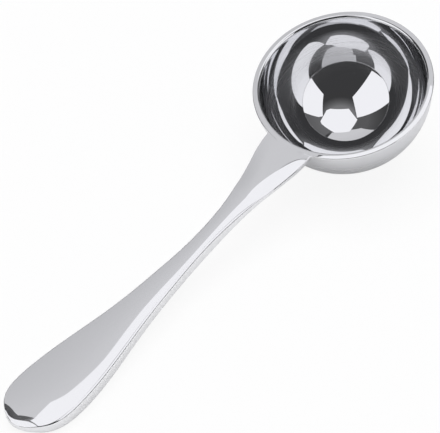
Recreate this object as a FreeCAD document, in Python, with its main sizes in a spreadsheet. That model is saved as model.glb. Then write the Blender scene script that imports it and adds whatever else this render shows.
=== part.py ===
import FreeCAD, Part
import os
import Sketcher

# Coffee scoop: a spun steel cup with a flat lip, and a forged handle welded flush to it.
# The scoop lies as it rests on a table: the cup on the lowest point of its wall and tipped
# towards the handle, the handle on its broad end. The handle points along -X.
# The origin is on the table, below the middle of the scoop's box.

document = FreeCAD.newDocument("coffee_scoop")

# Driving dimensions, in millimetres and degrees
sheet = document.addObject("Spreadsheet::Sheet", "dims")

SIZES = {
    # Whole scoop as it lies
    "overall_length": 163.5,
    "rest_tilt": 14.4,
    # Cup
    "wall_radius": 25.6,
    "wall_thickness": 1.4,
    "lip_rise": 0.5,
    "lip_depth": 1.1,
    "lip_overhang": 0.4,
    "lip_edge_break": 0.3,
    # Nose, the rounded end of the handle's outline seen from above
    "nose_blunt": 2.2,
    # Blank of the handle past its nose, cut off by the outline
    "blank_overrun": 1.2,
    "blank_half_width": 6.0,
    "blank_top": 3.5,
    "blank_crown": 0.4,
    "blank_side": 0.7,
    "blank_belly": 0.1,
    # How much wider the blank is than the handle's outline
    "trim_margin": 0.8,
    # Tip, where the top dips towards the nose
    "tip_inset": 3.9,
    "tip_half_width": 9.75,
    "tip_top": 4.5,
    "tip_crown": 1.2,
    "tip_side": 2.2,
    "tip_belly": 0.2,
    # Paddle, the broadest place, which rests on the table
    "paddle_inset": 16.8,
    "paddle_half_width": 9.85,
    "paddle_crown": 1.25,
    "paddle_side": 4.25,
    "paddle_belly": 0.15,
    # Shoulder, between paddle and taper
    "shoulder_inset": 29.8,
    "shoulder_half_width": 8.2,
    "shoulder_top": 6.35,
    "shoulder_crown": 1.0,
    "shoulder_side": 4.3,
    "shoulder_belly": 0.3,
    # Taper, where the sides draw in towards the shank
    "taper_inset": 45.8,
    "taper_half_width": 5.15,
    "taper_top": 7.7,
    "taper_crown": 0.65,
    "taper_side": 3.85,
    "taper_belly": 0.3,
    # Shank, the slim stretch, and neck, its narrowest place, measured from the lip's edge
    "shank_reach": 51.8,
    "shank_half_width": 3.65,
    "shank_top": 9.6,
    "shank_crown": 0.55,
    "shank_side": 3.75,
    "shank_belly": 0.35,
    "neck_reach": 36.8,
    "neck_half_width": 2.4,
    "neck_top": 11.75,
    "neck_crown": 0.4,
    "neck_side": 3.7,
    "neck_belly": 0.5,
    # Waist, where the handle starts to flare
    "waist_reach": 19.8,
    "waist_half_width": 3.6,
    "waist_rise": 0.3,
    "waist_crown": 0.55,
    "waist_side": 1.5,
    "waist_belly": 1.3,
    # Flare, just before the lip
    "flare_reach": 7.8,
    "flare_half_width": 6.5,
    "flare_drop": 0.15,
    "flare_side": 0.4,
    "flare_belly": 2.75,
    # Root at the lip's edge, and seat, where the blank ends inside the cup
    "root_half_width": 8.3,
    "root_side": 0.35,
    "root_belly": 3.05,
    "seat_overrun": 8.0,
    "seat_half_width": 7.0,
}

for row, (alias, size) in enumerate(SIZES.items(), start=1):
    sheet.set(f"A{row}", alias)
    sheet.set(f"B{row}", str(size))
    sheet.setAlias(f"B{row}", alias)
document.recompute()

# Places that several sub-parts share, written from the sheet's names
TIP_X = "(-dims.overall_length / 2)"
CUP_X = "(dims.overall_length / 2 - dims.wall_radius)"
LIP_RADIUS = "(dims.wall_radius + dims.lip_overhang)"
LIP_X = f"({CUP_X} - dims.lip_rise * sin(dims.rest_tilt))"
LIP_Z = "(dims.wall_radius + dims.lip_rise * cos(dims.rest_tilt))"
LIP_EDGE_X = f"({LIP_X} - {LIP_RADIUS} * cos(dims.rest_tilt))"

# Named places along the handle, from its tip to the cup
PLACES = {
    "tip": f"({TIP_X} + dims.tip_inset)",
    "paddle": f"({TIP_X} + dims.paddle_inset)",
    "shoulder": f"({TIP_X} + dims.shoulder_inset)",
    "taper": f"({TIP_X} + dims.taper_inset)",
    "shank": f"({LIP_EDGE_X} - dims.shank_reach)",
    "neck": f"({LIP_EDGE_X} - dims.neck_reach)",
    "waist": f"({LIP_EDGE_X} - dims.waist_reach)",
    "flare": f"({LIP_EDGE_X} - dims.flare_reach)",
}

# Numbers by which a sketch knows its origin, its vertical axis and the ends of its curves
ORIGIN, V_AXIS = range(-1, -3, -1)
START, END, CENTRE = range(1, 4)

# Degree of the smooth curves along the handle's sides
DEGREE = 3


def number(expression):
    """Value of an expression of the sheet's names, as a plain number."""
    return float(sheet.evalExpression(expression.replace("dims.", "")))


def origin_plane(body, role):
    """The body's own base plane with this role, such as XY_Plane."""
    return next(item for item in body.Origin.OriginFeatures if item.Role == role)


def new_sketch(body, name, role):
    """Empty sketch that lies flat on one of the body's base planes."""
    sketch = body.newObject("Sketcher::SketchObject", name)
    sketch.AttachmentSupport = [(origin_plane(body, role), "")]
    sketch.MapMode = "FlatFace"
    return sketch


def drive(sketch, kind, places, name, expression):
    """Add a dimension to the sketch and bind it to the sheet."""
    index = sketch.addConstraint(Sketcher.Constraint(kind, *places, number(expression)))
    sketch.renameConstraint(index, name)
    sketch.setExpression(f"Constraints.{name}", expression)


def join(sketch, *pairs):
    """Make pairs of end points meet."""
    for first, first_end, second, second_end in pairs:
        sketch.addConstraint(Sketcher.Constraint("Coincident", first, first_end, second, second_end))


def point(across, up):
    """Place in a sketch's own plane."""
    return FreeCAD.Vector(across, up, 0)


def cup_outside(sketch):
    """Draw the cup's outer profile, from the bottom up to the flat of the lip.

    The sketch's origin is the centre of the wall's sphere and its vertical axis is the cup's.
    Returns the numbers of the wall arc and of the lip's broken edge.
    """
    radius = number("dims.wall_radius")
    lip = number(LIP_RADIUS)
    low = number("dims.lip_rise - dims.lip_depth")
    top = number("dims.lip_rise")
    broken = number("dims.lip_edge_break")
    root = (radius**2 - low**2) ** 0.5
    step = lip - root
    wall = sketch.addGeometry(Part.Arc(point(0, -radius), on_circle(radius), point(root, low)))
    slope = sketch.addGeometry(Part.LineSegment(point(root, low), point(lip, low + step)))
    side = sketch.addGeometry(Part.LineSegment(point(lip, low + step), point(lip, top - broken)))
    edge = sketch.addGeometry(Part.LineSegment(point(lip, top - broken), point(lip - broken, top)))
    join(sketch, (wall, CENTRE, ORIGIN, START), (wall, END, slope, START))
    join(sketch, (slope, END, side, START), (side, END, edge, START))
    sketch.addConstraint(Sketcher.Constraint("PointOnObject", wall, START, V_AXIS))
    sketch.addConstraint(Sketcher.Constraint("Vertical", side))
    drive(sketch, "Radius", (wall,), "wall_radius", "dims.wall_radius")
    drive(sketch, "DistanceX", (ORIGIN, START, side, START), "lip_radius", LIP_RADIUS)
    drive(sketch, "DistanceY", (ORIGIN, START, wall, END), "lip_underside", "dims.lip_rise - dims.lip_depth")
    drive(sketch, "Angle", (slope,), "lip_slope", "45")
    lip_side = "dims.lip_rise - dims.lip_edge_break"
    drive(sketch, "DistanceY", (ORIGIN, START, edge, START), "lip_side", lip_side)
    drive(sketch, "DistanceX", (ORIGIN, START, edge, END), "lip_flat", f"{LIP_RADIUS} - dims.lip_edge_break")
    drive(sketch, "DistanceY", (ORIGIN, START, edge, END), "lip_top", "dims.lip_rise")
    return wall, edge


def on_circle(radius):
    """Place halfway along the lower right quarter of a circle about the origin."""
    return point(radius * 0.5**0.5, -radius * 0.5**0.5)


def make_bowl():
    """Spun cup: one revolved wall with a flat lip, set down on the table at its resting tilt."""
    body = document.addObject("PartDesign::Body", "bowl")
    body.Label = "bowl"
    profile = new_sketch(body, "cup_profile", "XZ_Plane")
    wall, edge = cup_outside(profile)

    inner = number("dims.wall_radius - dims.wall_thickness")
    top = number("dims.lip_rise")
    broken = number("dims.lip_edge_break")
    lip_end = number(LIP_RADIUS) - broken
    low = top - broken
    rim = (inner**2 - low**2) ** 0.5
    flat = profile.addGeometry(Part.LineSegment(point(lip_end, top), point(rim + broken, top)))
    corner = profile.addGeometry(Part.LineSegment(point(rim + broken, top), point(rim, low)))
    inside = profile.addGeometry(Part.Arc(point(0, -inner), on_circle(inner), point(rim, low)))
    axis = profile.addGeometry(Part.LineSegment(point(0, -inner), point(0, -number("dims.wall_radius"))))
    join(profile, (edge, END, flat, START), (flat, END, corner, START), (corner, END, inside, END))
    join(profile, (inside, CENTRE, ORIGIN, START), (inside, START, axis, START), (axis, END, wall, START))
    profile.addConstraint(Sketcher.Constraint("Horizontal", flat))
    profile.addConstraint(Sketcher.Constraint("PointOnObject", inside, START, V_AXIS))
    drive(profile, "Radius", (inside,), "inner_radius", "dims.wall_radius - dims.wall_thickness")
    inner_rim = "dims.lip_rise - dims.lip_edge_break"
    drive(profile, "DistanceY", (ORIGIN, START, inside, END), "inner_rim", inner_rim)
    drive(profile, "DistanceX", (corner, END, corner, START), "inner_break", "dims.lip_edge_break")

    cup = body.newObject("PartDesign::Revolution", "cup")
    cup.Profile = profile
    cup.ReferenceAxis = (profile, ["V_Axis"])
    cup.Angle = 360

    tilt = FreeCAD.Rotation(FreeCAD.Vector(0, -1, 0), number("dims.rest_tilt"))
    body.Placement = FreeCAD.Placement(FreeCAD.Vector(number(CUP_X), 0, number("dims.wall_radius")), tilt)
    body.setExpression("Placement.Base.x", CUP_X)
    body.setExpression("Placement.Base.z", "dims.wall_radius")
    body.setExpression("Placement.Rotation.Angle", "dims.rest_tilt")
    return body


def handle_section(body, name, at, half_width, top, side, belly, crown=None):
    """Cross-section of the handle's blank at one place along X.

    The upper side is an arc that rises by crown to the height top, or flat where crown is None.
    Upright sides run down from its ends, and an arc that hangs lower by belly closes it.
    """
    sketch = new_sketch(body, f"{name}_section", "YZ_Plane")
    sketch.AttachmentOffset = FreeCAD.Placement(FreeCAD.Vector(0, 0, number(at)), FreeCAD.Rotation())
    sketch.setExpression("AttachmentOffset.Base.z", at)
    shoulder = f"{top} - {crown}" if crown else top
    wide = number(half_width)
    high = number(shoulder)
    low = high - number(side)
    right_top, left_top = point(wide, high), point(-wide, high)
    left_low, right_low = point(-wide, low), point(wide, low)
    if crown:
        upper = sketch.addGeometry(Part.Arc(right_top, point(0, number(top)), left_top))
    else:
        upper = sketch.addGeometry(Part.LineSegment(right_top, left_top))
    left = sketch.addGeometry(Part.LineSegment(left_top, left_low))
    under = sketch.addGeometry(Part.Arc(left_low, point(0, low - number(belly)), right_low))
    right = sketch.addGeometry(Part.LineSegment(right_low, right_top))
    join(sketch, (upper, END, left, START), (left, END, under, START))
    join(sketch, (under, END, right, START), (right, END, upper, START))
    sketch.addConstraint(Sketcher.Constraint("Symmetric", upper, START, upper, END, V_AXIS))
    sketch.addConstraint(Sketcher.Constraint("Horizontal", under, START, under, END))
    sketch.addConstraint(Sketcher.Constraint("Vertical", left))
    sketch.addConstraint(Sketcher.Constraint("Vertical", right))
    drive(sketch, "DistanceX", (ORIGIN, START, upper, START), "half_width", half_width)
    drive(sketch, "DistanceY", (ORIGIN, START, upper, START), "shoulder_height", shoulder)
    drive(sketch, "DistanceY", (right, START, right, END), "side", side)
    drive(sketch, "Radius", (under,), "belly_radius", arc_radius(half_width, belly))
    if crown:
        drive(sketch, "Radius", (upper,), "crown_radius", arc_radius(half_width, crown))
    return sketch


def arc_radius(half_width, rise):
    """Radius of an arc that rises by this much over a chord of twice the half width."""
    return f"(({half_width})^2 + ({rise})^2) / (2 * ({rise}))"


def blank_width(name):
    """Half width of the blank at one of the named places."""
    return f"dims.{name}_half_width + dims.trim_margin"


def blank_sections(body):
    """Sections of the forged blank, from past its nose to inside the cup."""
    nose_end = f"{TIP_X} - dims.blank_overrun"
    heel = "dims.paddle_crown + dims.paddle_side + dims.paddle_belly"
    seat = f"{LIP_EDGE_X} + dims.seat_overrun"
    waist_top = f"{lip_plane(PLACES['waist'])} + dims.waist_rise"
    flare_top = f"{lip_plane(PLACES['flare'])} - dims.flare_drop"
    root = ("dims.root_side", "dims.root_belly")
    places = [
        ("blank", nose_end, "dims.blank_half_width", "dims.blank_top", *girth("blank")),
        ("tip", PLACES["tip"], blank_width("tip"), "dims.tip_top", *girth("tip")),
        ("paddle", PLACES["paddle"], blank_width("paddle"), heel, *girth("paddle")),
        ("shoulder", PLACES["shoulder"], blank_width("shoulder"), "dims.shoulder_top", *girth("shoulder")),
        ("taper", PLACES["taper"], blank_width("taper"), "dims.taper_top", *girth("taper")),
        ("shank", PLACES["shank"], blank_width("shank"), "dims.shank_top", *girth("shank")),
        ("neck", PLACES["neck"], blank_width("neck"), "dims.neck_top", *girth("neck")),
        ("waist", PLACES["waist"], blank_width("waist"), waist_top, *girth("waist")),
        ("flare", PLACES["flare"], blank_width("flare"), flare_top, *girth("flare")[:2]),
        ("root", LIP_EDGE_X, blank_width("root"), lip_plane(LIP_EDGE_X), *root),
        ("seat", seat, blank_width("seat"), lip_plane(seat), *root),
    ]
    return [handle_section(body, *place) for place in places]


def girth(name):
    """Side, belly and crown of the section at one of the named places."""
    return f"dims.{name}_side", f"dims.{name}_belly", f"dims.{name}_crown"


def lip_plane(at):
    """Height of the lip's plane at a place along X, which the handle's top runs into."""
    return f"({LIP_Z} + ({at} - {LIP_X}) * tan(dims.rest_tilt))"


def handle_outline(body):
    """What is trimmed off the blank, seen from above: all that lies outside the handle's outline.

    Each long side of the handle is one smooth curve, steered by its half widths at the named
    places. The two sides meet square to the handle's length at the nose.
    """
    sketch = new_sketch(body, "handle_outline", "XY_Plane")
    end = f"{LIP_EDGE_X} + dims.seat_overrun + dims.blank_overrun"
    steering = [(TIP_X, "0"), (TIP_X, "dims.nose_blunt")]
    steering += [(at, f"dims.{name}_half_width") for name, at in PLACES.items()]
    steering += [(LIP_EDGE_X, "dims.root_half_width"), (end, "dims.seat_half_width")]

    sides = []
    for sign in (1, -1):
        poles = [point(number(at), sign * number(width)) for at, width in steering]
        spans = len(poles) - DEGREE
        multiplicities = [DEGREE + 1] + [1] * (spans - 1) + [DEGREE + 1]
        knots = [float(knot) for knot in range(spans + 1)]
        curve = Part.BSplineCurve()
        curve.buildFromPolesMultsKnots(poles, multiplicities, knots, False, DEGREE)
        side = sketch.addGeometry(curve)
        sides.append(side)
        for place, pole in enumerate(poles):
            steer = sketch.addGeometry(Part.Circle(pole, FreeCAD.Vector(0, 0, 1), 1.0), True)
            link = ("InternalAlignment:Sketcher::BSplineControlPoint", steer, CENTRE, side, place)
            sketch.addConstraint(Sketcher.Constraint(*link))
            sketch.addConstraint(Sketcher.Constraint("Weight", steer, 1.0))
            at, width = steering[place]
            name = f"{'left' if sign > 0 else 'right'}_{place}"
            drive(sketch, "DistanceX", (ORIGIN, START, steer, CENTRE), f"{name}_at", at)
            drive(sketch, "DistanceY", (ORIGIN, START, steer, CENTRE), f"{name}_width", f"{sign} * {width}")

    clear = "dims.paddle_half_width + 4 * dims.trim_margin"
    wide = number(clear)
    start = number(f"{TIP_X} - 2 * dims.blank_overrun")
    finish = number(end)
    edge = number("dims.seat_half_width")
    corners = [
        point(finish, edge),
        point(finish, wide),
        point(start, wide),
        point(start, -wide),
        point(finish, -wide),
        point(finish, -edge),
    ]
    frame = [sketch.addGeometry(Part.LineSegment(a, b)) for a, b in zip(corners, corners[1:])]
    join(sketch, *[(a, END, b, START) for a, b in zip(frame, frame[1:])])
    join(sketch, (sides[0], END, frame[0], START), (frame[-1], END, sides[1], END))
    for line in frame[0::2]:
        sketch.addConstraint(Sketcher.Constraint("Vertical", line))
    for line in frame[1::2]:
        sketch.addConstraint(Sketcher.Constraint("Horizontal", line))
    beyond = f"{TIP_X} - 2 * dims.blank_overrun"
    drive(sketch, "DistanceX", (ORIGIN, START, frame[2], START), "frame_end", beyond)
    drive(sketch, "DistanceY", (ORIGIN, START, frame[1], START), "frame_left", clear)
    drive(sketch, "DistanceY", (ORIGIN, START, frame[3], START), "frame_right", f"-({clear})")
    return sketch


def seat_profile(body):
    """Room for the cup: its outer profile, tipped with it, which the groove turns about its axis."""
    sketch = new_sketch(body, "seat_profile", "XZ_Plane")
    tilt = FreeCAD.Rotation(FreeCAD.Vector(0, 0, 1), number("dims.rest_tilt"))
    sketch.AttachmentOffset = FreeCAD.Placement(point(number(CUP_X), number("dims.wall_radius")), tilt)
    sketch.setExpression("AttachmentOffset.Base.x", CUP_X)
    sketch.setExpression("AttachmentOffset.Base.y", "dims.wall_radius")
    sketch.setExpression("AttachmentOffset.Rotation.Angle", "dims.rest_tilt")
    wall, edge = cup_outside(sketch)
    lip_end = number(f"{LIP_RADIUS} - dims.lip_edge_break")
    top = number("dims.lip_rise")
    above = top + number("dims.lip_depth")
    rise = sketch.addGeometry(Part.LineSegment(point(lip_end, top), point(lip_end, above)))
    flat = sketch.addGeometry(Part.LineSegment(point(lip_end, above), point(0, above)))
    axis = sketch.addGeometry(Part.LineSegment(point(0, above), point(0, -number("dims.wall_radius"))))
    join(sketch, (edge, END, rise, START), (rise, END, flat, START))
    join(sketch, (flat, END, axis, START), (axis, END, wall, START))
    sketch.addConstraint(Sketcher.Constraint("Vertical", rise))
    sketch.addConstraint(Sketcher.Constraint("Horizontal", flat))
    sketch.addConstraint(Sketcher.Constraint("PointOnObject", flat, END, V_AXIS))
    drive(sketch, "DistanceY", (rise, START, rise, END), "headroom", "dims.lip_depth")
    return sketch


def make_handle():
    """Forged handle: a lofted blank, trimmed to the outline and seated on the cup's wall."""
    body = document.addObject("PartDesign::Body", "handle")
    body.Label = "handle"
    sections = blank_sections(body)
    blank = body.newObject("PartDesign::AdditiveLoft", "blank")
    blank.Profile = sections[0]
    blank.Sections = sections[1:]

    trimmed = body.newObject("PartDesign::Pocket", "trimmed")
    trimmed.Profile = handle_outline(body)
    trimmed.Type = "ThroughAll"
    trimmed.Midplane = True

    profile = seat_profile(body)
    seat = body.newObject("PartDesign::Groove", "cup_seat")
    seat.Profile = profile
    seat.ReferenceAxis = (profile, ["V_Axis"])
    seat.Angle = 360
    document.recompute()
    if not blank.Shape.Volume > trimmed.Shape.Volume > seat.Shape.Volume:
        raise RuntimeError("the outline or the seat cut nothing off the handle's blank")
    return body


bowl = make_bowl()
handle = make_handle()
document.recompute()

for item in document.Objects:
    if "Invalid" in item.State or "Error" in item.State:
        raise RuntimeError(f"{item.Name} failed: {item.State}")

os.makedirs("parts", exist_ok=True)
for body in (bowl, handle):
    if body.Shape.isNull() or not body.Shape.isValid():
        raise RuntimeError(f"{body.Label} has no valid shape")
    body.Shape.exportStep(f"parts/{body.Label}.step")
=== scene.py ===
"""Coffee scoop: two pieces of mirror-polished steel resting on a white table.

Metres in the part's own frame, with +X from the nose of the handle to the far
side of the cup and +Z up from the table. The scoop's dimensions below are in
millimetres, which MM turns into metres. The studio's are in metres.
"""

import math

import bpy
import numpy as np
from mathutils import Matrix, Vector


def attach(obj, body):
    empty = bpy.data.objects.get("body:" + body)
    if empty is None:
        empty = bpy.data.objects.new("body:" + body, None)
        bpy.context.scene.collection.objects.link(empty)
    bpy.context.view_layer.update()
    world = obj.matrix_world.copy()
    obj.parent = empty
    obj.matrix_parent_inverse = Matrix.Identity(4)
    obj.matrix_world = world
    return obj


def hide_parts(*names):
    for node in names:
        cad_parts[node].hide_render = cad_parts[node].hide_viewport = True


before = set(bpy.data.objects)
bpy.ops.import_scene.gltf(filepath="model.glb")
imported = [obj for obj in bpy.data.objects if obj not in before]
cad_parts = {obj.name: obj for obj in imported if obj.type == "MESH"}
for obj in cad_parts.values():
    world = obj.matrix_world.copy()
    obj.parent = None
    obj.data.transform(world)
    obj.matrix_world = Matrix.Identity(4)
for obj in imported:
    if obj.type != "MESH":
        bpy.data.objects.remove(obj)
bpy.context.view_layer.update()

MM = 0.001
FINE = 2

# The scoop as it lies, with its lowest points just clear of the table
OVERALL_LENGTH = 163.5
REST_TILT = math.radians(14.4)
LOWEST = 0.002

# The cup's wall, drawn just inside the solid's flat facets, and its slightly oval inside
WALL_RADIUS = 25.6
OUTSIDE_RADIUS = 25.597
INSIDE_RADIUS = 24.0
INSIDE_DEPTH = 24.5
INSIDE_CENTRE = -0.07

# The lip on top of the wall: a bead outside, a flat, and a soft edge inside
LIP_RADIUS = 25.996
LIP_RISE = 0.5
LIP_DEPTH = 1.1
LIP_ROUND = 0.2
LIP_FLAT_START = LIP_RADIUS - LIP_ROUND
LIP_FLAT_END = 24.85
LIP_INNER_DROP = 0.8
LIP_INNER_FOOT = LIP_RISE - LIP_INNER_DROP
BEAD_FOOT = LIP_RISE - LIP_DEPTH
BEAD_ROUND = 0.25
BEAD_CORNER = 0.04

# How the hand-polished lip leans: outward where it is clear of the handle, and inward at its
# far side. Each change starts and ends at these degrees from the handle or the far side.
LIP_LEAN = math.radians(9.0)
LIP_FAR_LEAN = math.radians(12.0)
LIP_SINK = 0.035
CLEAR_ON_LEFT = (24, 60)
CLEAR_ON_RIGHT = (14, 34)
FAR_SIDE = (12, 50)

# The handle's outline seen from above, and how far its sections were first cut beyond it
NOSE_BLUNT = 2.2
SEAT_OVERRUN = 1.2
TRIM_MARGIN = 0.8

# Roundings of the handle's edges, and where along X the crease's rounding changes,
# from the tip and from the root
CREASE_ROUND = 1.1
NOSE_ROUND = 0.25
ROOT_ROUND = 0.25
UNDER_ROUND = 0.8
NOSE_CREASE = (2.0, 12.0)
ROOT_CREASE = (-26.0, -14.0)

# How the handle's top falls towards its edge, round the nose and along the flare by the cup:
# how far in the fall reaches, how steep it is, and where along X it changes
NOSE_REACH = 3.4
NOSE_STEEPNESS = 0.1
NOSE_FADE = (0.8, 3.6)
TIP_FADE = (0.4, 2.0)
FLARE_REACH = 4.3
FLARE_STEEPNESS = 0.22
FLARE_EASING = 0.19
FLARE_START = (-20.0, -12.0)
FLARE_EASE = (-13.5, 3.0)

# The seat within the cup's wall that the handle ends on, and where it widens to the lip
SEAT_SINK = 0.3
SEAT_WIDENING = (-1.2, -0.6)

# How closely the handle's grid crowds towards its edges and its nose
EDGE_CROWDING = 1.8
NOSE_CROWDING = 1.15

TIP_X = -OVERALL_LENGTH / 2
CUP_X = OVERALL_LENGTH / 2 - WALL_RADIUS
RIM_X = CUP_X - LIP_RISE * math.sin(REST_TILT)
RIM_Z = WALL_RADIUS + LIP_RISE * math.cos(REST_TILT)
ROOT_X = RIM_X - LIP_RADIUS * math.cos(REST_TILT)


def smooth_step(value, low, high):
    """Rises smoothly from 0 at low to 1 at high: three t squared less two t cubed."""
    t = np.clip((value - low) / (high - low), 0, 1)
    return t * t * (3 - 2 * t)


def lip_plane(x):
    """Height of the plane of the cup's lip at x."""
    return RIM_Z + (x - RIM_X) * math.tan(REST_TILT)


class Section:
    """A cross-section of the handle: where it is, how wide, and its top, crown, side and belly.

    The crown and the belly are kept as heights over the square of the half width they span.
    """

    def __init__(self, at, half_width, top, crown, side, belly, margin=TRIM_MARGIN):
        self.at = at
        self.half_width = half_width
        self.top = top
        self.crown = crown / (half_width + margin) ** 2
        self.under = top - crown - side - belly
        self.belly = belly / (half_width + margin) ** 2


def handle_sections():
    """The handle's cross-sections from its nose to where it meets the cup."""
    waist = ROOT_X - 19.8
    flare = ROOT_X - 7.8
    seat = ROOT_X + 8.0
    return [
        Section(TIP_X - 1.2, 6.0, 3.5, 0.4, 1.2, 0.1, margin=0),
        Section(TIP_X + 3.9, 9.75, 4.5, 1.2, 2.2, 0.2),
        Section(TIP_X + 16.8, 9.85, 5.65, 1.25, 4.25, 0.15),
        Section(TIP_X + 29.8, 8.2, 6.35, 1.0, 4.3, 0.3),
        Section(TIP_X + 45.8, 5.15, 7.7, 0.65, 3.85, 0.3),
        Section(ROOT_X - 51.8, 3.65, 9.6, 0.5, 3.75, 0.35),
        Section(ROOT_X - 36.8, 2.4, 11.75, 0.38, 3.7, 0.5),
        Section(waist, 3.6, lip_plane(waist) + 0.3, 0.6, 1.9, 0.9),
        Section(flare, 6.5, lip_plane(flare) - 0.05, 0.3, 1.3, 1.7),
        Section(ROOT_X, 8.3, lip_plane(ROOT_X), 0.0, 1.0, 2.4),
        Section(seat, 7.0, lip_plane(seat), 0.0, 1.0, 2.4),
    ]


def curve_through(places, values, end_slope=None):
    """A smooth curve through values at places: piecewise cubic, straight where it starts.

    It solves for the second derivative at every place and returns a function of x.
    With end_slope the curve leaves its last place at that slope, else it is straight there.
    """
    x = np.asarray(places, float)
    y = np.asarray(values, float)
    gap = np.diff(x)
    rise = np.diff(y) / gap
    count = len(x)
    system = np.zeros((count, count))
    right = np.zeros(count)
    system[0, 0] = 1.0
    for k in range(1, count - 1):
        system[k, k - 1 : k + 2] = gap[k - 1], 2 * (gap[k - 1] + gap[k]), gap[k]
        right[k] = 6 * (rise[k] - rise[k - 1])
    if end_slope is None:
        system[-1, -1] = 1.0
    else:
        system[-1, -2:] = gap[-1], 2 * gap[-1]
        right[-1] = 6 * (end_slope - rise[-1])
    bend = np.linalg.solve(system, right)

    def curve(at):
        at = np.clip(at, x[0], x[-1])
        k = np.clip(np.searchsorted(x, at, side="right") - 1, 0, count - 2)
        left = at - x[k]
        over = x[k + 1] - at
        width = gap[k]
        cubic = (bend[k] * over**3 + bend[k + 1] * left**3) / (6 * width)
        lower = (y[k] / width - bend[k] * width / 6) * over
        upper = (y[k + 1] / width - bend[k + 1] * width / 6) * left
        return cubic + lower + upper

    return curve


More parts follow.
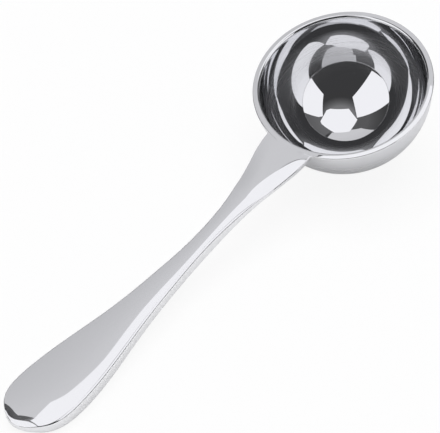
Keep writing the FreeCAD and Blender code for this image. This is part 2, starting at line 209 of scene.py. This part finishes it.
class Handle:
    """The handle's form: heights of its top and underside, and its outline seen from above.

    A rim is a place on the outline, as its x and y and the x and y of its inward normal.
    """

    def __init__(self):
        sections = handle_sections()
        places = [s.at for s in sections]
        held = sections[:-1]
        above = [s.top - lip_plane(s.at) for s in held]
        self.above_lip = curve_through(places[:-1], above, end_slope=0.0)
        self.crown = curve_through(places[:-1], [s.crown for s in held], end_slope=0.0)
        self.under = curve_through(places, [s.under for s in sections])
        self.belly = curve_through(places, [s.belly for s in sections])
        inner = sections[1:-1]
        seat = sections[-1]
        self.poles_x = [TIP_X, TIP_X] + [s.at for s in inner] + [seat.at + SEAT_OVERRUN]
        self.poles_w = [0.0, NOSE_BLUNT] + [s.half_width for s in inner] + [seat.half_width]
        self.spans = len(self.poles_x) - 3
        ends = [float(self.spans)] * 3
        self.knots = np.concatenate([[0.0] * 3, np.arange(self.spans + 1.0), ends])

    def share(self, u, degree, k):
        """What pole k adds to the outline at u, by the recursion of B-splines."""
        knots = self.knots
        if degree == 0:
            last = k == self.spans + 2
            return ((u >= knots[k]) & ((u < knots[k + 1]) | last)).astype(float)
        total = 0.0
        width = knots[k + degree] - knots[k]
        if width > 0:
            total = total + (u - knots[k]) / width * self.share(u, degree - 1, k)
        width = knots[k + degree + 1] - knots[k + 1]
        if width > 0:
            total = total + (knots[k + degree + 1] - u) / width * self.share(u, degree - 1, k + 1)
        return total

    def outline(self, u):
        """The rim at u: a clamped cubic B-spline on its poles, and the turned slope of it."""
        x = y = dx = dy = 0.0
        for k, (px, pw) in enumerate(zip(self.poles_x, self.poles_w)):
            weight = self.share(u, 3, k)
            x = x + weight * px
            y = y + weight * pw
        for k in range(len(self.poles_x) - 1):
            weight = 3 * self.share(u, 2, k + 1) / (self.knots[k + 4] - self.knots[k + 1])
            dx = dx + weight * (self.poles_x[k + 1] - self.poles_x[k])
            dy = dy + weight * (self.poles_w[k + 1] - self.poles_w[k])
        length = np.hypot(dx, dy)
        return x, y, dy / length, -dx / length

    def top(self, x, y):
        """Height of the crowned top: a curve along the middle, less crown times y squared."""
        return lip_plane(x) + self.above_lip(x) - np.maximum(self.crown(x), 0) * y**2

    def bottom(self, x, y):
        """Height of the underside: a curve along the middle, plus belly times y squared."""
        return np.maximum(self.under(x) + np.maximum(self.belly(x), 0) * y**2, LOWEST)

    def crease_round(self, x):
        """Radius of the crease: full along the sides, crisper at the nose and near the cup."""
        nose = 1 - smooth_step(x - TIP_X, *NOSE_CREASE)
        root = smooth_step(x - ROOT_X, *ROOT_CREASE)
        return CREASE_ROUND + (NOSE_ROUND - CREASE_ROUND) * nose + (ROOT_ROUND - CREASE_ROUND) * root

    def spine(self, x):
        """Where the line across the handle from the outline at x reaches the middle.

        It lies ahead of x near the tip, by a lead that dies away along the handle.
        """
        lead = 5.0
        fade = 7.0
        return x + lead * np.exp((TIP_X - x) / fade)

    def drop(self, x, inward):
        """How far the top falls at a distance inward from the outline at x.

        Round the nose the fall grows with the square of the nearness to the edge, and at the
        very tip with its ninth power. Along the flare its slope grows evenly and then eases.
        """
        nose = 1 - smooth_step(x - TIP_X, *NOSE_FADE)
        tip = 1 - smooth_step(x - TIP_X, *TIP_FADE)
        near = np.clip(1 - inward / NOSE_REACH, 0, 1)
        nose_fall = NOSE_REACH * NOSE_STEEPNESS * (nose * near**2 + tip * near**9)
        steepness = FLARE_STEEPNESS - FLARE_EASING * smooth_step(x - ROOT_X, *FLARE_EASE)
        flare = smooth_step(x - ROOT_X, *FLARE_START) * steepness
        near = np.clip(1 - inward / FLARE_REACH, 0, 1)
        return nose_fall + FLARE_REACH * flare * (near**2 - near**3 / 3)

    def level(self, rim, inward, upper):
        """Height of the top or the underside at a distance inward from a rim."""
        x, y, nx, ny = rim
        at_x = x + nx * inward
        at_y = y + ny * inward
        if upper:
            return self.top(at_x, at_y) - self.drop(x, inward)
        return self.bottom(at_x, at_y)

    def edge_start(self, rim, radius, upper):
        """How far inward the rounding of an edge leaves its face, and the face's slope there.

        The distance is the radius times one less the slope's sine. Each round goes half way
        from the last guess to what that guess's slope gives.
        """
        probe = 0.02
        rounds = 8
        start = 0.6 * radius
        for _ in range(rounds):
            rise = self.level(rim, start + probe, upper) - self.level(rim, start, upper)
            slope = np.arctan(rise / (probe if upper else -probe))
            start = (start + radius * (1 - np.sin(slope))) / 2
        return start, slope

    def face(self, rim, radius, part, upper):
        """A point of the top or underside: part of the way from the middle to the rounded edge."""
        x, y, nx, ny = rim
        start, _ = self.edge_start(rim, radius, upper)
        edge_x = x + nx * start
        edge_y = y + ny * start
        middle = self.spine(x)
        at_x = middle + (edge_x - middle) * part
        at_y = edge_y * part
        if not upper:
            return np.array([at_x, at_y, self.bottom(at_x, at_y)])
        inward = start + np.hypot(edge_x - middle, edge_y) * (1 - part)
        return np.array([at_x, at_y, self.top(at_x, at_y) - self.drop(x, inward)])

    def edge(self, rim, radius, turn, upper):
        """A point of the rounded edge between a face and the side.

        turn runs from 0 at the face to 1 at the side. The rounding is an arc that leaves
        the face at the face's own slope and reaches the side upright.
        """
        x, y, nx, ny = rim
        start, slope = self.edge_start(rim, radius, upper)
        reach = radius if upper else -radius
        swing = slope + turn * (math.pi / 2 - slope)
        inward = radius * (1 - np.sin(swing))
        height = self.level(rim, start, upper) + reach * (np.cos(swing) - np.cos(slope))
        return np.array([x + nx * inward, y + ny * inward, height])

    def point(self, u, zone, amount):
        """A point on the section at u, an amount from 0 to 1 of the way over one of its zones.

        A rounding takes at most half of the side's height above, or about a third below.
        """
        rim = self.outline(u)
        height = self.level(rim, 0.0, True) - self.level(rim, 0.0, False)
        crease = np.minimum(self.crease_round(rim[0]), 0.5 * height)
        under = np.minimum(UNDER_ROUND, 0.35 * height)
        if zone == "top":
            return self.face(rim, crease, amount, True)
        if zone == "crease":
            return self.edge(rim, crease, amount, True)
        if zone == "lower edge":
            return self.edge(rim, under, amount, False)
        if zone == "underside":
            return self.face(rim, under, amount, False)
        above = self.edge(rim, crease, 1.0, True)
        below = self.edge(rim, under, 1.0, False)
        return above + (below - above) * amount


def outside_seat(x, y, z):
    """How far a point is outside the seat within the cup's wall that the handle ends on.

    The seat is a sphere a little smaller than the wall, widened smoothly to the flat's edge
    under the lip. Heights are along the cup's axis from the centre of the wall.
    """
    dx = x - CUP_X
    dz = z - WALL_RADIUS
    along = -dx * math.sin(REST_TILT) + dz * math.cos(REST_TILT)
    side = dx * math.cos(REST_TILT) + dz * math.sin(REST_TILT)
    wall = np.sqrt(np.maximum((WALL_RADIUS - SEAT_SINK) ** 2 - along**2, 1.0))
    widening = smooth_step(along, *SEAT_WIDENING)
    return np.hypot(side, y) - (wall + (LIP_FLAT_START - wall) * widening)


def handle_grid(form, rows, across, round_steps, side_steps):
    """Half of the handle as a grid of points, in rows from nose to cup.

    A row runs from the middle of the top to the middle of the underside. Each column ends
    where it meets the seat, which is found by halving the stretch that the seat lies in.
    """
    parts = 1 - (1 - np.linspace(0, 1, across + 1)) ** EDGE_CROWDING
    turns = np.linspace(0, 1, round_steps + 1)
    downs = np.linspace(0, 1, side_steps + 1)[1:-1]
    columns = [("top", p) for p in parts[:-1]]
    columns += [("crease", t) for t in turns]
    columns += [("side", d) for d in downs]
    columns += [("lower edge", t) for t in turns[::-1]]
    columns += [("underside", p) for p in parts[::-1][1:]]

    near = np.full(len(columns), 0.8 * form.spans)
    far = np.full(len(columns), float(form.spans))
    halvings = 26
    for _ in range(halvings):
        middle = (near + far) / 2
        points = [form.point(np.array([u]), *column) for u, column in zip(middle, columns)]
        out = outside_seat(*np.concatenate(points, axis=1)) > 0
        near = np.where(out, middle, near)
        far = np.where(out, far, middle)
    ends = (near + far) / 2

    along = np.linspace(0, 1, rows + 1) ** NOSE_CROWDING
    lines = [form.point(along * end, *column).T for end, column in zip(ends, columns)]
    return np.stack(lines, axis=1)


def quads(index):
    """Four-cornered faces of a grid of point numbers, without corners that fall together."""
    corners = [index[:-1, :-1], index[:-1, 1:], index[1:, 1:], index[1:, :-1]]
    faces = []
    for face in np.stack(corners, axis=2).reshape(-1, 4).tolist():
        kept = [p for k, p in enumerate(face) if p != face[k - 1]]
        if len(kept) > 2:
            faces.append(kept)
    return faces


def without_unused(points, faces):
    """Points that some face uses, with the faces renumbered to suit."""
    used = np.unique(np.concatenate([np.array(f) for f in faces]))
    number = np.zeros(len(points), int)
    number[used] = np.arange(len(used))
    return points[used], [number[face].tolist() for face in faces]


def mesh_piece(name, points, faces, material):
    """A closed, smooth piece from points in millimetres, with its sharp edges marked."""
    points, faces = without_unused(points, faces)
    mesh = bpy.data.meshes.new(name)
    mesh.from_pydata((points * MM).tolist(), [], faces)
    mesh.polygons.foreach_set("use_smooth", np.ones(len(mesh.polygons), bool))
    mesh.materials.append(material)
    mesh.validate()
    mesh.update()
    mesh.set_sharp_from_angle(angle=math.radians(50))
    piece = bpy.data.objects.new(name, mesh)
    bpy.context.scene.collection.objects.link(piece)
    return piece


def ready(piece, node):
    """Puts a finished piece in place of its node, on the scoop's one body."""
    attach(piece, "root")
    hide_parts(node)


def make_handle(material):
    """The handle: crowned sections carried along a smooth outline, and closed inside the cup's wall.

    A point is found from how far round the outline it is and how far round the section:
    over the crown, round the crease, down the side, round the lower edge and under the belly.
    The other half is the mirror image in Y, and both share the nose and the middle lines.
    """
    half = handle_grid(Handle(), 170 * FINE, 12 * FINE, 6 * FINE, 3 * FINE)
    half[0, :, 1] = 0.0
    half[:, 0, 1] = 0.0
    half[:, -1, 1] = 0.0
    rows, columns = half.shape[:2]
    left = np.arange(rows * columns).reshape(rows, columns)
    right = left + rows * columns
    right[0] = left[0]
    right[:, 0] = left[:, 0]
    right[:, -1] = left[:, -1]
    points = np.concatenate([half.reshape(-1, 3), (half * [1, -1, 1]).reshape(-1, 3)])

    middle = columns // 2
    left_end = np.stack([left[-1, :], left[-1, ::-1]])[:, : middle + 1]
    right_end = np.stack([right[-1, :], right[-1, ::-1]])[:, : middle + 1]
    faces = quads(left[:, ::-1]) + quads(right) + quads(left_end[:, ::-1]) + quads(right_end)
    ready(mesh_piece("handle_surface", points, faces, material), "handle")


def arc(centre, radii, start, end, steps):
    """Points of an arc, or of an ellipse's arc, between two angles in degrees."""
    angle = np.radians(np.linspace(start, end, steps + 1))
    return np.stack([centre[0] + radii[0] * np.cos(angle), centre[1] + radii[1] * np.sin(angle)], axis=1)


def height_angle(height, radius):
    """Angle in degrees at which an arc of that radius is at a height."""
    return math.degrees(math.asin(height / radius))


def cup_profile():
    """The cup's closed profile, as distance from its axis and height from the wall's centre.

    It runs up the outside from the bottom, round the bead and over the flat lip, round the
    lip's inner edge and down the inside.
    """
    foot_angle = height_angle(BEAD_FOOT - BEAD_CORNER, OUTSIDE_RADIUS)
    outside = arc((0, 0), (OUTSIDE_RADIUS, OUTSIDE_RADIUS), -90, foot_angle, 44 * FINE)
    root = math.sqrt(OUTSIDE_RADIUS**2 - BEAD_FOOT**2)
    foot = np.array([[root + BEAD_CORNER, BEAD_FOOT]])
    bead_centre = (LIP_RADIUS - BEAD_ROUND, BEAD_FOOT + BEAD_ROUND)
    bead = arc(bead_centre, (BEAD_ROUND, BEAD_ROUND), -90, 0, 4 * FINE)
    over_centre = (LIP_FLAT_START, LIP_RISE - LIP_ROUND)
    over = arc(over_centre, (LIP_ROUND, LIP_ROUND), 0, 90, 5 * FINE)
    across = np.linspace(LIP_FLAT_START, LIP_FLAT_END, 2 + 2 * FINE)[1:-1]
    flat = np.stack([across, np.full(len(across), LIP_RISE)], axis=1)
    edge_radii = (LIP_FLAT_END - INSIDE_RADIUS, LIP_INNER_DROP)
    inner_edge = arc((LIP_FLAT_END, LIP_INNER_FOOT), edge_radii, 90, 180, 9 * FINE)
    start = height_angle(LIP_INNER_FOOT - INSIDE_CENTRE, INSIDE_DEPTH)
    inside = arc((0, INSIDE_CENTRE), (INSIDE_RADIUS, INSIDE_DEPTH), start, -90, 46 * FINE)
    return np.concatenate([outside, foot, bead, over, flat, inner_edge, inside[1:]])


def lip_finish(angle):
    """How clear of the handle the lip is, from 0 to 1, and the slope of its lean outward."""
    from_handle = np.degrees(np.abs(angle - math.pi))
    from_far_side = np.degrees(np.minimum(angle, 2 * math.pi - angle))
    left = np.sin(angle) > 0
    starts = np.where(left, CLEAR_ON_LEFT[0], CLEAR_ON_RIGHT[0])
    ends = np.where(left, CLEAR_ON_LEFT[1], CLEAR_ON_RIGHT[1])
    clear = smooth_step(from_handle, starts, ends)
    far = 1 - smooth_step(from_far_side, *FAR_SIDE)
    return clear, np.tan(clear * LIP_LEAN - far * LIP_FAR_LEAN)


def make_bowl(material):
    """The cup: its profile turned once round its axis, which leans by the rest tilt.

    On the flat lip, height grows with the distance inward times the slope of the lean, less
    what keeps the lip within its own height. The inner edge takes up the change.
    """
    profile = cup_profile()
    profile[0, 0] = profile[-1, 0] = 0.0
    turns = 180 * FINE
    angle = np.arange(turns) * (2 * math.pi / turns)
    clear, lean = lip_finish(angle)
    out, up = profile.T
    flat_width = LIP_FLAT_START - LIP_FLAT_END
    on_lip = np.clip((up - LIP_INNER_FOOT) / LIP_INNER_DROP, 0, 1)
    inward = on_lip * np.clip(LIP_FLAT_START - out, 0, flat_width)
    lowered = flat_width * np.maximum(lean, 0) + LIP_SINK * clear
    along = up[:, None] + np.outer(inward, lean) - np.outer(on_lip, lowered)
    side = np.outer(out, np.cos(angle))
    y = np.outer(out, np.sin(angle))
    x = CUP_X + side * math.cos(REST_TILT) - along * math.sin(REST_TILT)
    z = WALL_RADIUS + side * math.sin(REST_TILT) + along * math.cos(REST_TILT)
    points = np.stack([x, y, z], axis=2).reshape(-1, 3)

    index = np.arange(len(profile) * turns).reshape(len(profile), turns)
    index[0] = index[0, 0]
    index[-1] = index[-1, 0]
    faces = quads(np.concatenate([index, index[:, :1]], axis=1))
    ready(mesh_piece("bowl_surface", points, faces, material), "bowl")


class Value:
    """A shader value that can be added, taken away, multiplied, divided and raised to a power."""

    def __init__(self, graph, socket):
        self.graph = graph
        self.socket = socket

    def maths(self, operation, first, second):
        """Adds a Math node on two values and gives its result."""
        return self.graph.node("ShaderNodeMath", {"operation": operation}, {0: first, 1: second})[0]

    def __add__(self, other):
        return self.maths("ADD", self, other)

    def __radd__(self, other):
        return self.maths("ADD", other, self)

    def __sub__(self, other):
        return self.maths("SUBTRACT", self, other)

    def __rsub__(self, other):
        return self.maths("SUBTRACT", other, self)

    def __mul__(self, other):
        return self.maths("MULTIPLY", self, other)

    def __rmul__(self, other):
        return self.maths("MULTIPLY", other, self)

    def __truediv__(self, other):
        return self.maths("DIVIDE", self, other)

    def __rtruediv__(self, other):
        return self.maths("DIVIDE", other, self)

    def __pow__(self, other):
        return self.maths("POWER", self, other)


class Graph:
    """The nodes of one material or world."""

    def __init__(self, tree):
        self.tree = tree
        self.tree.nodes.clear()

    def node(self, kind, settings, inputs):
        """Adds a node, with its settings first and then its values and links, and gives its outputs."""
        node = self.tree.nodes.new(kind)
        for name, value in settings.items():
            setattr(node, name, value)
        for name, value in inputs.items():
            if isinstance(value, Value):
                self.tree.links.new(value.socket, node.inputs[name])
            else:
                node.inputs[name].default_value = value
        return [Value(self, socket) for socket in node.outputs]

    def pick(self, kind, output, settings, inputs):
        """Adds a node and gives one named output."""
        for value in self.node(kind, settings, inputs):
            if value.socket.name == output and value.socket.enabled:
                return value
        raise KeyError(output)

    def place(self):
        """Where a point is, in the object's own metres."""
        return self.pick("ShaderNodeTexCoord", "Object", {}, {})

    def parts(self, vector):
        """The x, y and z of a vector."""
        return self.node("ShaderNodeSeparateXYZ", {}, {"Vector": vector})

    def joined(self, x, y, z):
        """A vector from its x, y and z."""
        return self.pick("ShaderNodeCombineXYZ", "Vector", {}, {"X": x, "Y": y, "Z": z})

    def noise(self, vector, scale, detail):
        """A smooth random value from 0 to 1 at a place."""
        inputs = {"Vector": vector, "Scale": scale, "Detail": detail}
        return self.pick("ShaderNodeTexNoise", "Fac", {}, inputs)

    def ramp(self, value, low, high, kind="SMOOTHSTEP"):
        """Rises from 0 to 1 as the value goes from low to high."""
        inputs = {"Value": value, "From Min": low, "From Max": high}
        return self.pick("ShaderNodeMapRange", "Result", {"interpolation_type": kind}, inputs)

    def between(self, amount, first, second):
        """A colour between two, by an amount from 0 to 1."""
        inputs = {"Factor": amount, 6: first, 7: second}
        return self.pick("ShaderNodeMix", "Result", {"data_type": "RGBA"}, inputs)

    def light_path(self, ray):
        """1 for a ray of the named kind, else 0."""
        return self.pick("ShaderNodeLightPath", ray, {}, {})

    def light(self, colour):
        """A surface that shines in a colour, at its own level."""
        return self.pick("ShaderNodeEmission", "Emission", {}, {"Color": colour, "Strength": 1.0})

    def mixed(self, amount, first, second):
        """One surface turning into another, by an amount from 0 to 1."""
        return self.pick("ShaderNodeMixShader", "Shader", {}, {0: amount, 1: first, 2: second})

    def finish(self, surface):
        """Makes a surface the material's own."""
        self.node("ShaderNodeOutputMaterial", {}, {"Surface": surface})


def new_material(name):
    """An empty material and its nodes."""
    material = bpy.data.materials.new(name)
    material.use_nodes = True
    return material, Graph(material.node_tree)


STEEL = (0.855, 0.857, 0.87, 1)


def bare_steel(graph, roughness, bump):
    """Steel of a given roughness."""
    inputs = {"Base Color": STEEL, "Metallic": 1.0, "Roughness": roughness, "Normal": bump}
    return graph.pick("ShaderNodeBsdfPrincipled", "BSDF", {}, inputs)


def finish_steel(graph, marks, haze, height):
    """Mirror-polished steel with a thin haze of buffing marks over it.

    The mirror's roughness is 0.02 to 0.05 and the haze's 0.27 to 0.42, both growing with
    the marks. The bump's height is in millimetres.
    """
    inputs = {"Strength": 1.0, "Distance": MM, "Height": height}
    bump = graph.pick("ShaderNodeBump", "Normal", {}, inputs)
    mirror = bare_steel(graph, 0.02 + marks * 0.03, bump)
    satin = bare_steel(graph, 0.27 + marks * 0.15, bump)
    graph.finish(graph.mixed(haze, mirror, satin))


def bowl_steel():
    """Steel buffed round and round the cup, hazier and less even up its wall than at the bottom.

    Heights are along the cup's axis from the wall's centre. The buffing marks follow a
    spiral: noise that changes quickly with height and slowly round the axis. The haze is a
    ring half way up, with streaks where that noise is high.
    """
    haze_starts = -19.0 * MM
    haze_full = -10.0 * MM
    haze_fades = -8.5 * MM
    haze_ends = -4.5 * MM
    hand_ends = 0.4 * MM
    hand_full = -0.8 * MM
    rings_per_metre = 2600.0
    spiral_lead = 12.0

    material, graph = new_material("bowl_steel")
    place = graph.place()
    centre = (CUP_X * MM, 0.0, WALL_RADIUS * MM)
    inputs = {0: place, 1: centre}
    from_centre = graph.pick("ShaderNodeVectorMath", "Vector", {"operation": "SUBTRACT"}, inputs)
    inputs = {"Vector": from_centre, "Angle": REST_TILT}
    turned = graph.pick("ShaderNodeVectorRotate", "Vector", {"rotation_type": "Y_AXIS"}, inputs)
    x, y, z = graph.parts(turned)
    radius = (x * x + y * y) ** 0.5
    wall = graph.ramp(z, haze_starts, haze_full)
    ring = wall * (1 - graph.ramp(z, haze_fades, haze_ends))
    rim = graph.ramp(z, hand_ends, hand_full)
    spiral = graph.joined(x / radius, y / radius, z * rings_per_metre + y * spiral_lead)
    rings = graph.noise(spiral, 1.0, 3.0)
    streaks = graph.ramp(rings, 0.5, 0.75)
    hand = graph.noise(place, 170.0, 1.0)
    finish_steel(graph, wall * rings, ring * (0.2 + streaks * 0.24), wall * rim * hand * 0.012)
    return material


def handle_steel():
    """Steel buffed along the handle: the marks are sixteen times longer in X than across it."""
    material, graph = new_material("handle_steel")
    place = graph.place()
    x, y, z = graph.parts(place)
    marks = graph.noise(graph.joined(x * 0.25, y * 4.0, z * 4.0), 900.0, 3.0)
    hand = graph.noise(place, 120.0, 1.0)
    finish_steel(graph, marks, marks * 0.05, hand * 0.001)
    return material


# The studio round the scoop, in metres from the middle of the cup's rim
STUDIO_CENTRE = np.array([RIM_X * MM, 0.0, RIM_Z * MM])
CARD_DISTANCE = 0.8
WALL_DISTANCE = CARD_DISTANCE * 4.0
GAP_DISTANCE = CARD_DISTANCE * 5.0
CEILING_DISTANCE = CARD_DISTANCE * 5.5
CARD_LIGHT = 1.01
CARD_EDGE_LIGHT = 0.015
ROOM_LIGHT = 0.047
BLUE = 1.03
WHITE = (1, 1, 1, 1)


def direction(around, up):
    """Unit vector at an angle around from -Y towards +X, and an angle up from the table."""
    a = math.radians(around)
    e = math.radians(up)
    return np.array([math.sin(a) * math.cos(e), -math.cos(a) * math.cos(e), math.sin(e)])


def rise_at(distance, up):
    """How far above the rim's middle an upright wall is seen at an angle up."""
    return distance * math.tan(math.radians(up))


def tint(level):
    """The studio's faintly blue white at a level."""
    return (level, level, level * BLUE, 1)


def glow(name, level):
    """A card's light, the same all over."""
    material, graph = new_material(name)
    graph.finish(graph.light(tint(level)))
    return material


def graded_glow(name, dim, bright, distance, low, high):
    """An upright wall's light, rising evenly from dim at one angle up to bright at another."""
    material, graph = new_material(name)
    _, _, z = graph.parts(graph.place())
    bottom = STUDIO_CENTRE[2] + rise_at(distance, low)
    top = STUDIO_CENTRE[2] + rise_at(distance, high)
    rise = graph.ramp(z, bottom, top, "LINEAR")
    graph.finish(graph.light(graph.between(rise, tint(dim), tint(bright))))
    return material


def studio_object(name, points, faces, material, seen=False):
    """A flat-faced thing of the studio. Unless it is to be seen, only reflections show it."""
    mesh = bpy.data.meshes.new(name)
    mesh.from_pydata([tuple(map(float, p)) for p in points], [], faces)
    mesh.materials.append(material)
    mesh.update()
    thing = bpy.data.objects.new(name, mesh)
    bpy.context.scene.collection.objects.link(thing)
    thing.visible_camera = seen
    thing.visible_shadow = seen
    return thing


def flat_card(name, corners, material, distance=CARD_DISTANCE, upright=False, edge=None):
    """A flat card whose corners lie in the given directions, with a dark edge if asked for.

    It faces the mean of those directions. A corner is where its direction meets the card's
    plane. The edge is the same card behind it, spread a little wider.
    """
    ways = [direction(*corner) for corner in corners]
    facing = np.mean(ways, axis=0)
    if upright:
        facing[2] = 0.0
    facing /= np.linalg.norm(facing)
    points = [STUDIO_CENTRE + way * distance / way.dot(facing) for way in ways]
    face = [list(range(len(points)))]
    if edge is not None:
        spread = 1.035
        gap = 0.01
        middle = np.mean(points, axis=0)
        wider = [middle + (point - middle) * spread + facing * gap for point in points]
        studio_object(f"{name}_edge", wider, face, edge)
    studio_object(name, points, face, material)


def curved_wall(name, start, end, low, high, material, distance):
    """An upright wall on part of a circle round the scoop, between two angles up."""
    strips = 24
    points = []
    for angle in np.linspace(start, end, strips + 1):
        level = STUDIO_CENTRE + direction(angle, 0) * distance
        points += [level + np.array([0, 0, rise_at(distance, up)]) for up in (low, high)]
    faces = [[2 * k, 2 * k + 1, 2 * k + 3, 2 * k + 2] for k in range(strips)]
    studio_object(name, points, faces, material)


def hang_cards():
    """White cards overhead, to the left and in front, as angles around and up of their corners."""
    white = glow("white_card", CARD_LIGHT)
    black = glow("card_edge", CARD_EDGE_LIGHT)
    overhead = [(57, 61.5), (11, 67), (-3, 69), (-86, 71.6), (-151, 69), (153, 67), (107, 65.6), (65, 62)]
    left = [(-94, 10), (-79, 54.4), (-142, 69.5), (-142.5, 28), (-143.5, 10)]
    front = [(-2.5, 11), (-4, 21), (-11.5, 47.5), (38, 65.5), (44, 60), (46, 38.5), (49, 11)]
    flat_card("overhead_card", overhead, white)
    flat_card("left_card", left, white, edge=black)
    flat_card("front_card", front, white, edge=black)


def build_room():
    """A grey wall behind the cards, darker gaps on both sides of it and a dim ceiling."""
    wall = [(89.5, 7), (84, 56), (109, 67), (162, 69), (189, 54), (185, 46), (180, 7)]
    grey = graded_glow("far_wall", 0.55, 0.66, WALL_DISTANCE, 15, 62)
    flat_card("far_wall", wall, grey, WALL_DISTANCE, upright=True)
    right = graded_glow("right_gap", 0.10, 0.15, GAP_DISTANCE, 20, 60)
    curved_wall("right_gap", 40, 96, 0.5, 66, right, GAP_DISTANCE)
    left = graded_glow("left_gap", 0.03, 0.11, GAP_DISTANCE, 15, 55)
    curved_wall("left_gap", 170, 222, 0.5, 70, left, GAP_DISTANCE)
    ceiling = graded_glow("ceiling", ROOM_LIGHT, 0.2, CEILING_DISTANCE, 57, 70)
    curved_wall("ceiling", -142, 222, 50, 75, ceiling, CEILING_DISTANCE)


def hang_lamp():
    """A round soft lamp that lights the table and isn't mirrored in the steel."""
    lamp = bpy.data.lights.new("table_light", "AREA")
    lamp.shape = "DISK"
    lamp.size = 2.4
    lamp.energy = 66.0
    above = bpy.data.objects.new("table_light", lamp)
    above.location = (0.3, 0.1, 2.2)
    above.visible_glossy = False
    above.visible_camera = False
    bpy.context.scene.collection.objects.link(above)


def background(graph, colour):
    """A world of one colour."""
    return graph.pick("ShaderNodeBackground", "Background", {}, {"Color": colour})


def dim_room():
    """The rest of the room: white to the camera, nearly dark to the steel."""
    world = bpy.data.worlds.new("studio")
    bpy.context.scene.world = world
    world.use_nodes = True
    graph = Graph(world.node_tree)
    dark = background(graph, (ROOM_LIGHT, ROOM_LIGHT, 0.049, 1))
    white = background(graph, WHITE)
    mixed = graph.mixed(graph.light_path("Is Camera Ray"), dark, white)
    graph.node("ShaderNodeOutputWorld", {}, {"Surface": mixed})


def white_table():
    """Matt white that keeps a soft shadow and looks white to the eye, with painted shade that makes it
    greyer to the steel's reflections from near the cup onward.
    """
    near_cup = 0.01
    under_cup = 0.06
    paper_tone = (0.8, 0.8, 0.8, 1)
    # The colour of the painted shade, which only the steel's reflections show
    mirrored_painted_shade = (0.64, 0.64, 0.65, 1)

    material, graph = new_material("white_table")
    mirrored = graph.light_path("Is Glossy Ray")
    x, _, _ = graph.parts(graph.place())
    # Painted shade: to glossy rays only, the table darkens from near_cup to under_cup and stays darker
    # beyond, towards +X
    amount = mirrored * graph.ramp(x, near_cup, under_cup)
    paper_and_painted_shade = graph.between(amount, paper_tone, mirrored_painted_shade)
    paper = graph.pick("ShaderNodeBsdfDiffuse", "BSDF", {}, {"Color": paper_and_painted_shade})
    own_light = graph.light_path("Is Camera Ray") * 0.9 + mirrored * 0.2
    graph.finish(graph.mixed(own_light, paper, graph.light(WHITE)))
    return material


def lay_table():
    """A square table top just under the scoop."""
    reach = 1.6
    clearance = 0.00002
    corners = [(-reach, -reach, 0), (reach, -reach, 0), (reach, reach, 0), (-reach, reach, 0)]
    table = studio_object("table", corners, [[0, 1, 2, 3]], white_table(), seen=True)
    table.location = (0, 0, -clearance)


def set_camera():
    """A long lens from above the nose of the handle, looking down on the rim of the cup."""
    around = -50.0
    up = 45.74
    stand = Vector((-0.3219, -0.2715, 0.4479))
    back = Vector(direction(around, up))
    right = Vector(direction(around + 90.0, 0.0))
    over = back.cross(right)
    camera = bpy.data.cameras.new("camera")
    camera.sensor_fit = "HORIZONTAL"
    camera.sensor_width = 36.0
    camera.lens = 179.6
    camera.clip_start = 0.01
    camera.clip_end = 50.0
    seat = bpy.data.objects.new("camera", camera)
    seat.matrix_world = Matrix.Translation(stand) @ Matrix((right, over, back)).transposed().to_4x4()
    bpy.context.scene.collection.objects.link(seat)
    bpy.context.scene.camera = seat


def main():
    """The scoop, its table, the studio and the camera."""
    make_bowl(bowl_steel())
    make_handle(handle_steel())
    lay_table()
    hang_cards()
    build_room()
    hang_lamp()
    dim_room()
    set_camera()
    bpy.context.scene.view_settings.view_transform = "Standard"


main()
